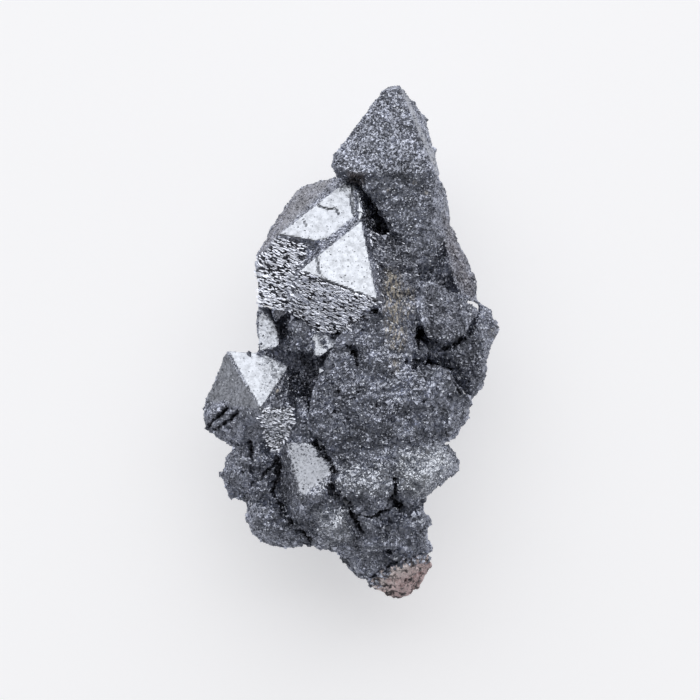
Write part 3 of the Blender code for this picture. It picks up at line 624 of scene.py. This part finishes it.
def makeGrowthSteps():
    uneven = pointsOf(crystalFront)[:, 1] < growthSteps["unevenBelow"]
    density = getAttribute(crystalFront, "steps") * np.where(uneven, 1.7, 1.0)
    count = growthSteps["count"]
    spots, normals, values = spotsOn(crystalFront, count, density, carried)
    turn = np.where(spots[:, 1] < growthSteps["unevenBelow"], 3.0, 1.0) * growthSteps["turn"]
    along = unit(plateEdge + dice.normal(size=(count, 3)) * turn[:, None])
    lean = math.radians(growthSteps["lean"])
    upright = np.array((0.0, math.sin(lean), math.cos(lean)))
    top = unit(upright + dice.normal(scale=0.10, size=(count, 3)))
    along = unit(along - top * (along * top).sum(1)[:, None])
    out = np.cross(top, along)
    out *= np.where((out * normals).sum(1) < 0, -1, 1)[:, None]
    low, high = growthSteps["length"]
    half = (low + (high - low) * dice.random(count) ** 1.5) / 2
    low, high = growthSteps["width"]
    width = low + (high - low) * dice.random(count)
    slope = 0.3 + 0.7 * smoothStep(0.2, 0.5, (out * normals).sum(1))     # small where the face is flat
    half, width = half * slope, width * slope
    inner = spots - out * (width * 0.25)[:, None]
    edge = spots + out * (width * 0.75)[:, None]
    under = spots - top * growthSteps["drop"] - normals * 0.12
    step = half[:, None]
    corners = np.stack([inner - along * step, inner + along * step, edge - along * step * 0.75,
                        edge + along * step * 0.75, under - along * step, under + along * step], 1)
    faces = np.array([(0, 2, 1), (1, 2, 3), (2, 4, 3), (3, 4, 5), (0, 1, 4), (1, 5, 4), (0, 4, 2),
                      (1, 3, 5)])
    each = corners.shape[1]
    allFaces = (faces[None] + (np.arange(count) * each)[:, None, None]).reshape(-1, 3)
    made = meshObject("growth_steps", corners.reshape(-1, 3), allFaces)
    pick(made)
    bpy.ops.object.mode_set(mode="EDIT")
    bpy.ops.mesh.select_all(action="SELECT")
    bpy.ops.mesh.normals_make_consistent(inside=False)
    bpy.ops.object.mode_set(mode="OBJECT")
    setAttribute(made, "tone", np.repeat(dice.random(count), each))
    for tint, amount in values.items():
        setAttribute(made, tint, np.repeat(amount, each))
    setAttribute(made, "polish", np.ones(count * each))
    setAttribute(made, "steps", np.ones(count * each))
    return made


stepShelves = makeGrowthSteps()
print("growth steps", len(stepShelves.data.polygons))

# host rock at the lower tip

hostRock = {
    "voxel": 0.14,
    "swell": 0.15,                         # how far the skin stands out, as pits lower it
    "lumps": ((1.6, 0.25), (0.7, 0.24)),   # size and height
    "pits": (1.1, 0.35),                   # spacing and depth
    "crumbs": 900,
    "crumbSize": (0.10, 0.30),
    "darkSide": 0.22,                      # painted shade towards the lower right
    "rimGrains": 420,
    "rimSize": (0.16, 0.42),
}


def makeHostRock():
    rock = copyOfNode("matrix_remnant", "host_rock")
    remesh(rock, hostRock["voxel"])
    points, normals = pointsOf(rock), normalsOf(rock)
    relief = np.full(len(points), hostRock["swell"])
    for index, (size, height) in enumerate(hostRock["lumps"]):
        relief += height * noiseAt(points, size, 5.0 + index)
    pitSize, pitDepth = hostRock["pits"]
    relief -= pitDepth * (1 - smoothStep(0.16, 0.34, cellsAt(points, pitSize, 3.0)))
    setPoints(rock, points + normals * relief[:, None])
    for name in ("polish", "steps", "crevice", *tintNames):
        setAttribute(rock, name, np.zeros(len(points)))
    setAttribute(rock, "rough", np.ones(len(points)))
    middle = points.mean(0)
    ragged = 0.8 * noiseAt(points, 1.2, 8.0)
    side = (points - middle) @ unit((1.0, -0.45, 0.0)) + ragged
    # painted shade, deepening towards the lower right
    setAttribute(rock, "paintedShade", hostRock["darkSide"] * smoothStep(-0.3, 2.2, side))
    seamSide = (points - middle) @ unit((-0.6, 0.8, 0.0)) + ragged     # paler cream towards the upper left, by the seam
    setAttribute(rock, "pale", smoothStep(-1.0, 1.2, seamSide))
    count = hostRock["crumbs"]
    spots, normals, values = spotsOn(rock, count, np.ones(len(points)), carried)
    low, high = hostRock["crumbSize"]
    reach = low + (high - low) * dice.random(count) ** 2
    crumbs = placeForms("host_rock_crumbs", "octahedron", spots - normals * (reach * 0.4)[:, None],
                        randomTurns(count), reach, dice.random(count), values)
    return rock, crumbs


def makeRimGrains(rock):
    # hematite grains that overgrow the edge of the host rock
    tree = BVHTree.FromObject(crystalFront, bpy.context.evaluated_depsgraph_get())
    points = pointsOf(rock)
    away = np.array([tree.find_nearest(Vector(p))[3] for p in points * mm]) / mm
    count = hostRock["rimGrains"]
    spots, normals, values = spotsOn(rock, count, 1 - smoothStep(0.5, 1.5, away), carried)
    for name in ("paintedShade", "pale"):
        values[name] = values[name] * 0
    low, high = hostRock["rimSize"]
    reach = low + (high - low) * dice.random(count) ** 2
    return placeForms("rim_grains", "octahedron", spots, randomTurns(count), reach,
                      dice.random(count), values)


rockBody, rockCrumbs = makeHostRock()
grainPieces.append(makeRimGrains(rockBody))
print("host rock", len(rockBody.data.polygons), len(rockCrumbs.data.polygons))

# materials

finish = {
    "metal": (0.55, 0.575, 0.625),       # smooth faces
    "stepMetalWithPaintedHighlight": (0.84, 0.87, 0.97),     # painted highlight: the steps' metal, far brighter than the smooth faces', makes up for the shade they lie in
    "grain": (0.38, 0.40, 0.47),         # granular crust
    "paintedShadeBlack": (0.05, 0.05, 0.06),          # painted shade: the black of gaps, cracks, pores, pinholes, the skin below the steps and shaded zones
    "ochre": (0.68, 0.61, 0.49),
    "brownAndShadow": (0.19, 0.155, 0.145),
    "smoothRoughness": 0.34,
    "grainRoughness": 0.34,
    "rock": (0.96, 0.74, 0.74),
    "rockCream": (1.0, 0.89, 0.88),
    # the rock's own deep-coloured grains, and painted shade in its pinholes and on its lower right side
    "rockDarkGrainsAndShade": (0.06, 0.05, 0.055),
    "rockRoughness": 0.55,
    "rockSpecular": 0.8,
    "rockBump": 0.4,                     # height of its finest grain, millimetres
}


def colour(value):
    return (*value, 1.0)


def node(tree, kind, place, **settings):
    made = tree.nodes.new(kind)
    made.location = place
    for key, value in settings.items():
        if key.startswith("in_"):
            made.inputs[int(key[3:])].default_value = value
        else:
            setattr(made, key, value)
    return made


def groupWith(name, inputs, outputs):
    tree = bpy.data.node_groups.new(name, "ShaderNodeTree")
    for label, kind, value in inputs:
        made = tree.interface.new_socket(label, in_out="INPUT", socket_type=kind)
        if value is not None:
            made.default_value = value
    for label, kind in outputs:
        tree.interface.new_socket(label, in_out="OUTPUT", socket_type=kind)
    return tree, tree.nodes.new("NodeGroupInput"), tree.nodes.new("NodeGroupOutput")


def makeGlintGroup():
    # tiny facets: each cell leans its own way and has its own shade
    tree, given, out = groupWith(
        "tiny facets", [("Scale", "NodeSocketFloat", 3000.0), ("Lean", "NodeSocketFloat", 0.5)],
        [("Normal", "NodeSocketVector"), ("Shade", "NodeSocketFloat")])
    place = node(tree, "ShaderNodeTexCoord", (-900, 0))
    cells = node(tree, "ShaderNodeTexVoronoi", (-700, 0))
    centred = node(tree, "ShaderNodeVectorMath", (-500, 0), operation="SUBTRACT", in_1=(0.5, 0.5, 0.5))
    leaned = node(tree, "ShaderNodeVectorMath", (-300, 0), operation="SCALE")
    surface = node(tree, "ShaderNodeNewGeometry", (-500, -300))
    added = node(tree, "ShaderNodeVectorMath", (-100, 0), operation="ADD")
    even = node(tree, "ShaderNodeVectorMath", (100, 0), operation="NORMALIZE")
    split = node(tree, "ShaderNodeSeparateColor", (-300, 300))
    link = tree.links.new
    link(place.outputs["Object"], cells.inputs["Vector"])
    link(given.outputs["Scale"], cells.inputs["Scale"])
    link(cells.outputs["Color"], centred.inputs[0])
    link(centred.outputs[0], leaned.inputs[0])
    link(given.outputs["Lean"], leaned.inputs["Scale"])
    link(surface.outputs["Normal"], added.inputs[0])
    link(leaned.outputs[0], added.inputs[1])
    link(added.outputs[0], even.inputs[0])
    link(cells.outputs["Color"], split.inputs[0])
    link(even.outputs[0], out.inputs["Normal"])
    link(split.outputs[0], out.inputs["Shade"])
    return tree


def makePitGroup():
    # painted shade in tiny holes of many sizes, scattered
    tree, given, out = groupWith(
        "pinholes", [("Scale", "NodeSocketFloat", 1800.0), ("Share", "NodeSocketFloat", 0.5)],
        [("Mask", "NodeSocketFloat")])
    place = node(tree, "ShaderNodeTexCoord", (-900, 0))
    cells = node(tree, "ShaderNodeTexVoronoi", (-700, 100))
    stir = node(tree, "ShaderNodeTexNoise", (-900, -300), in_2=4000.0, in_3=2.0)
    shift = node(tree, "ShaderNodeVectorMath", (-800, -500), operation="SCALE")
    shift.inputs["Scale"].default_value = 0.00035
    moved = node(tree, "ShaderNodeVectorMath", (-800, 100), operation="ADD")
    split = node(tree, "ShaderNodeSeparateColor", (-500, -150))
    radius = node(tree, "ShaderNodeMath", (-400, 300), operation="MULTIPLY", in_1=0.34)
    inHole = node(tree, "ShaderNodeMath", (-300, 100), operation="SUBTRACT")
    hole = node(tree, "ShaderNodeMath", (-200, 100), operation="MULTIPLY", in_1=14.0, use_clamp=True)
    chosen = node(tree, "ShaderNodeMath", (-300, -150), operation="LESS_THAN")
    both = node(tree, "ShaderNodeMath", (-100, 0), operation="MULTIPLY")
    link = tree.links.new
    link(place.outputs["Object"], stir.inputs["Vector"])
    link(stir.outputs["Color"], shift.inputs[0])
    link(place.outputs["Object"], moved.inputs[0])
    link(shift.outputs[0], moved.inputs[1])
    link(moved.outputs[0], cells.inputs["Vector"])
    link(given.outputs["Scale"], cells.inputs["Scale"])
    link(cells.outputs["Color"], split.inputs[0])
    link(split.outputs[2], radius.inputs[0])
    link(radius.outputs[0], inHole.inputs[0])
    link(cells.outputs["Distance"], inHole.inputs[1])
    link(inHole.outputs[0], hole.inputs[0])
    link(split.outputs[1], chosen.inputs[0])
    link(given.outputs["Share"], chosen.inputs[1])
    link(hole.outputs[0], both.inputs[0])
    link(chosen.outputs[0], both.inputs[1])
    link(both.outputs[0], out.inputs["Mask"])
    return tree


glintGroup = makeGlintGroup()
pitGroup = makePitGroup()


def groupNode(tree, group, place, **values):
    made = tree.nodes.new("ShaderNodeGroup")
    made.node_tree = group
    made.location = place
    for key, value in values.items():
        made.inputs[key].default_value = value
    return made


def attribute(tree, name, place):
    return node(tree, "ShaderNodeAttribute", place, attribute_name=name).outputs["Fac"]


def mixColour(tree, place, share, first, second, blend="MIX"):
    made = node(tree, "ShaderNodeMix", place, data_type="RGBA", blend_type=blend)
    for socket, value in ((0, share), (6, first), (7, second)):
        if isinstance(value, bpy.types.NodeSocket):
            tree.links.new(value, made.inputs[socket])
        else:
            made.inputs[socket].default_value = value
    return made.outputs[2]


def math2(tree, place, operation, first, second=0.0, clamp=False):
    made = node(tree, "ShaderNodeMath", place, operation=operation, use_clamp=clamp)
    for socket, value in ((0, first), (1, second)):
        if isinstance(value, bpy.types.NodeSocket):
            tree.links.new(value, made.inputs[socket])
        else:
            made.inputs[socket].default_value = value
    return made.outputs[0]


def newMaterial(name):
    made = bpy.data.materials.new(name)
    made.use_nodes = True
    return made, made.node_tree, made.node_tree.nodes["Principled BSDF"]


def makeHematite(name, loose, metal=finish["metal"]):
    # loose: for grains and steps, which carry a tone each; otherwise the skin
    made, tree, shader = newMaterial(name)
    link = tree.links.new
    polish = attribute(tree, "polish", (-1400, 400))
    facets = groupNode(tree, glintGroup, (-1400, 0), Scale=4800.0, Lean=0.35 if loose else 0.9)
    pits = groupNode(tree, pitGroup, (-1400, -200), Scale=3400.0, Share=0.85)
    cloud = node(tree, "ShaderNodeTexNoise", (-1400, -400), in_2=520.0, in_3=4.0)
    place = node(tree, "ShaderNodeTexCoord", (-1600, -400))
    link(place.outputs["Object"], cloud.inputs[0])
    shade = attribute(tree, "tone", (-1400, 200)) if loose else facets.outputs["Shade"]
    dim = node(tree, "ShaderNodeMapRange", (-1100, 200), in_1=0.0, in_2=1.0, in_3=0.62, in_4=1.35)
    link(shade, dim.inputs[0])
    crust = mixColour(tree, (-900, 200), 1.0, colour(finish["grain"]), dim.outputs[0], "MULTIPLY")
    patch = node(tree, "ShaderNodeMapRange", (-1100, -400), in_1=0.32, in_2=0.68, in_3=0.55, in_4=1.28)
    link(cloud.outputs[0], patch.inputs[0])
    crust = mixColour(tree, (-700, 200), 1.0, crust, patch.outputs[0], "MULTIPLY")
    if not loose:
        # painted shade on the skin between and below the growth steps
        between = math2(tree, (-700, 700), "MULTIPLY", attribute(tree, "steps", (-900, 700)), 0.95)
        crust = mixColour(tree, (-600, 300), between, crust, colour(finish["paintedShadeBlack"]))
    mottle = node(tree, "ShaderNodeTexNoise", (-1400, -800), in_2=1300.0, in_3=6.0, in_4=0.72)
    link(place.outputs["Object"], mottle.inputs[0])
    mottled = node(tree, "ShaderNodeMapRange", (-1100, -800), in_1=0.36, in_2=0.58, in_3=0.66, in_4=1.04)
    link(mottle.outputs[0], mottled.inputs[0])
    pitted = mixColour(tree, (-900, 0), 1.0, colour(metal), mottled.outputs[0], "MULTIPLY")
    # painted shade in the pinholes of the smooth faces
    pitted = mixColour(tree, (-700, 0), pits.outputs["Mask"], pitted, colour(finish["paintedShadeBlack"]))
    body = mixColour(tree, (-500, 200), polish, crust, pitted)
    # painted light: zones marked pale are lifted towards the smooth faces' metal colour
    pale = math2(tree, (-500, 500), "MULTIPLY", attribute(tree, "pale", (-700, 500)), 0.8)
    body = mixColour(tree, (-300, 200), pale, body, colour(finish["metal"]))
    # painted shade: the zones marked as shaded go towards black
    body = mixColour(tree, (-100, 200), attribute(tree, "paintedShade", (-300, 500)), body, colour(finish["paintedShadeBlack"]))
    # painted shade in crevices, pores and cracks
    gaps = attribute(tree, "crevice", (-400, 800))
    if not loose:
        cracked = math2(tree, (-200, 600), "MULTIPLY", attribute(tree, "crack", (-400, 600)), 0.55)
        gaps = math2(tree, (-100, 700), "MAXIMUM", gaps, cracked)
    body = mixColour(tree, (0, 300), gaps, body, colour(finish["paintedShadeBlack"]))
    # brownish colouring, and a painted shadow under the summit's overhang
    body = mixColour(tree, (100, 200), attribute(tree, "brownAndShadow", (-100, 500)), body, colour(finish["brownAndShadow"]))
    speckle = node(tree, "ShaderNodeMapRange", (-100, -400), in_1=0.46, in_2=0.60, in_3=0.0, in_4=1.0)
    fine = node(tree, "ShaderNodeTexNoise", (-300, -400), in_2=3200.0, in_3=4.0)
    strands = node(tree, "ShaderNodeVectorMath", (-500, -400), operation="MULTIPLY", in_1=(1.0, 0.42, 0.7))
    link(place.outputs["Object"], strands.inputs[0])
    link(strands.outputs[0], fine.inputs[0])
    link(fine.outputs[0], speckle.inputs[0])
    dust = math2(tree, (100, -300), "MULTIPLY", speckle.outputs[0], attribute(tree, "ochre", (-100, -200)))
    body = mixColour(tree, (300, 200), dust, body, colour(finish["ochre"]))
    link(body, shader.inputs["Base Color"])
    link(math2(tree, (300, -100), "SUBTRACT", 1.0, dust), shader.inputs["Metallic"])
    gloss = node(tree, "ShaderNodeMapRange", (-300, -150), in_1=0.0, in_2=1.0,
                 in_3=finish["grainRoughness"], in_4=finish["smoothRoughness"])
    link(polish, gloss.inputs[0])
    uneven = math2(tree, (-100, -150), "MULTIPLY_ADD", patch.outputs[0], 0.10)
    uneven.node.inputs[2].default_value = -0.10
    link(math2(tree, (100, -150), "ADD", gloss.outputs[0], uneven), shader.inputs["Roughness"])
    plain = node(tree, "ShaderNodeNewGeometry", (100, -600))
    weaker = math2(tree, (-100, -600), "MULTIPLY", polish, 0.85)
    mixed = node(tree, "ShaderNodeMix", (300, -500), data_type="VECTOR")
    link(weaker, mixed.inputs[0])
    link(facets.outputs["Normal"], mixed.inputs[4])
    link(plain.outputs["Normal"], mixed.inputs[5])
    link(mixed.outputs[1], shader.inputs["Normal"])
    return made


def makeRock(name):
    made, tree, shader = newMaterial(name)
    link = tree.links.new
    place = node(tree, "ShaderNodeTexCoord", (-1200, 0))
    cloud = node(tree, "ShaderNodeTexNoise", (-1000, 0), in_2=850.0, in_3=7.0, in_4=0.72)
    link(place.outputs["Object"], cloud.inputs[0])
    patch = node(tree, "ShaderNodeMapRange", (-800, 0), in_1=0.43, in_2=0.50, in_3=0.0, in_4=1.0)
    link(cloud.outputs[0], patch.inputs[0])
    pits = groupNode(tree, pitGroup, (-800, -200), Scale=2600.0, Share=0.5)
    cream = attribute(tree, "pale", (-900, 300))
    body = mixColour(tree, (-700, 200), cream, colour(finish["rock"]), colour(finish["rockCream"]))
    body = mixColour(tree, (-500, 0), patch.outputs[0], colour(finish["rockDarkGrainsAndShade"]), body)
    # painted shade in the pinholes
    body = mixColour(tree, (-300, 0), pits.outputs["Mask"], body, colour(finish["rockDarkGrainsAndShade"]))
    # painted shade towards the lower right
    shade = attribute(tree, "paintedShade", (-300, 300))
    body = mixColour(tree, (-100, 0), shade, body, colour(finish["rockDarkGrainsAndShade"]))
    link(body, shader.inputs["Base Color"])
    shader.inputs["Roughness"].default_value = finish["rockRoughness"]
    shader.inputs["Specular IOR Level"].default_value = finish["rockSpecular"]
    bump = node(tree, "ShaderNodeBump", (-300, -300), in_0=0.8)
    bump.inputs["Distance"].default_value = finish["rockBump"] * mm
    link(cloud.outputs[0], bump.inputs["Height"])
    link(bump.outputs[0], shader.inputs["Normal"])
    return made


hematiteSkin = makeHematite("hematite skin", loose=False)
hematiteGrains = makeHematite("hematite grains", loose=True)
# the steps' metal carries a painted highlight
hematiteSteps = makeHematite("hematite steps", loose=True, metal=finish["stepMetalWithPaintedHighlight"])
rockFinish = makeRock("host rock")
for piece in (crystalFront, crystalBack):
    piece.data.materials.append(hematiteSkin)
for piece in grainPieces:
    piece.data.materials.append(hematiteGrains)
stepShelves.data.materials.append(hematiteSteps)
for piece in (rockBody, rockCrumbs):
    piece.data.materials.append(rockFinish)

finishPiece(crystalFront, "hematite", "crystal_cluster")
finishPiece(crystalBack, "hematite", "crystal_cluster")
for piece in (*grainPieces, stepShelves):
    finishPiece(piece, "hematite", "crystal_cluster")
finishPiece(rockBody, "host_rock", "matrix_remnant")
finishPiece(rockCrumbs, "host_rock", "matrix_remnant")
print("materials")

# floor, light and camera

studio = {
    "floorColour": (0.66, 0.66, 0.673),
    "glowColour": (0.985, 0.985, 1.0),
    "floorGlow": 0.505,
    "softbox": {"away": 1.5, "elevation": 34, "width": 3.0, "height": 2.0, "power": 24.0},
    "skyColour": (0.98, 0.985, 1.0),
    "skyDim": 0.14,            # low in the picture
    "skyBright": 0.50,         # high in the picture
    "backdrop": 0.9,           # what the camera itself sees of it
}
view = {
    "distance": 0.70,          # metres from the aim to the camera
    "photoScale": 0.13,        # millimetres per pixel of the photograph
    "imageSize": 700,
    "aim": (-0.26, -0.78, 15.0),
}


def makeFloor():
    bpy.ops.mesh.primitive_circle_add(vertices=96, radius=4.0, fill_type="NGON")
    floor = bpy.context.object
    floor.name = "floor"
    made, tree, shader = newMaterial("pale floor")
    shader.inputs["Base Color"].default_value = colour(studio["floorColour"])
    shader.inputs["Roughness"].default_value = 0.9
    shader.inputs["Specular IOR Level"].default_value = 0.0
    shader.inputs["Emission Color"].default_value = colour(studio["glowColour"])
    shader.inputs["Emission Strength"].default_value = studio["floorGlow"]
    floor.data.materials.append(made)


def aimedAt(item, target):
    direction = Vector(target) - item.location
    item.rotation_euler = direction.to_track_quat("-Z", "Y").to_euler()


def makeLights():
    box = studio["softbox"]
    rise = math.radians(box["elevation"])
    light = bpy.data.lights.new("softbox", "AREA")
    light.shape = "RECTANGLE"
    light.size, light.size_y, light.energy = box["width"], box["height"], box["power"]
    lamp = bpy.data.objects.new("softbox", light)
    bpy.context.scene.collection.objects.link(lamp)
    lamp.location = (0.0, box["away"] * math.cos(rise), box["away"] * math.sin(rise))
    aimedAt(lamp, (0, 0, 0.01))
    world = bpy.data.worlds.new("studio")
    bpy.context.scene.world = world
    world.use_nodes = True
    tree = world.node_tree
    sky = tree.nodes["Background"]
    place = node(tree, "ShaderNodeTexCoord", (-900, 0))
    split = node(tree, "ShaderNodeSeparateXYZ", (-700, 0))
    grade = node(tree, "ShaderNodeMapRange", (-500, 0), in_1=-0.9, in_2=0.9,
                 in_3=studio["skyDim"], in_4=studio["skyBright"])
    path = node(tree, "ShaderNodeLightPath", (-500, 300))
    seen = node(tree, "ShaderNodeMix", (-250, 0), data_type="FLOAT")
    seen.inputs[3].default_value = studio["backdrop"]
    tree.links.new(place.outputs["Generated"], split.inputs[0])
    tree.links.new(split.outputs[1], grade.inputs[0])
    tree.links.new(path.outputs["Is Camera Ray"], seen.inputs[0])
    tree.links.new(grade.outputs[0], seen.inputs[2])
    tree.links.new(seen.outputs[0], sky.inputs["Strength"])
    sky.inputs["Color"].default_value = colour(studio["skyColour"])


def makeCamera():
    camera = bpy.data.cameras.new("camera")
    made = bpy.data.objects.new("camera", camera)
    bpy.context.scene.collection.objects.link(made)
    target = drawn([view["aim"]])[0] * mm
    made.location = (target[0], target[1], target[2] + view["distance"])
    camera.sensor_width = 36
    camera.lens = camera.sensor_width * view["distance"] / (view["imageSize"] * view["photoScale"] * mm)
    camera.clip_start = 0.01
    bpy.context.scene.camera = made


makeFloor()
makeLights()
makeCamera()
bpy.context.scene.view_settings.view_transform = "Standard"
print("studio")
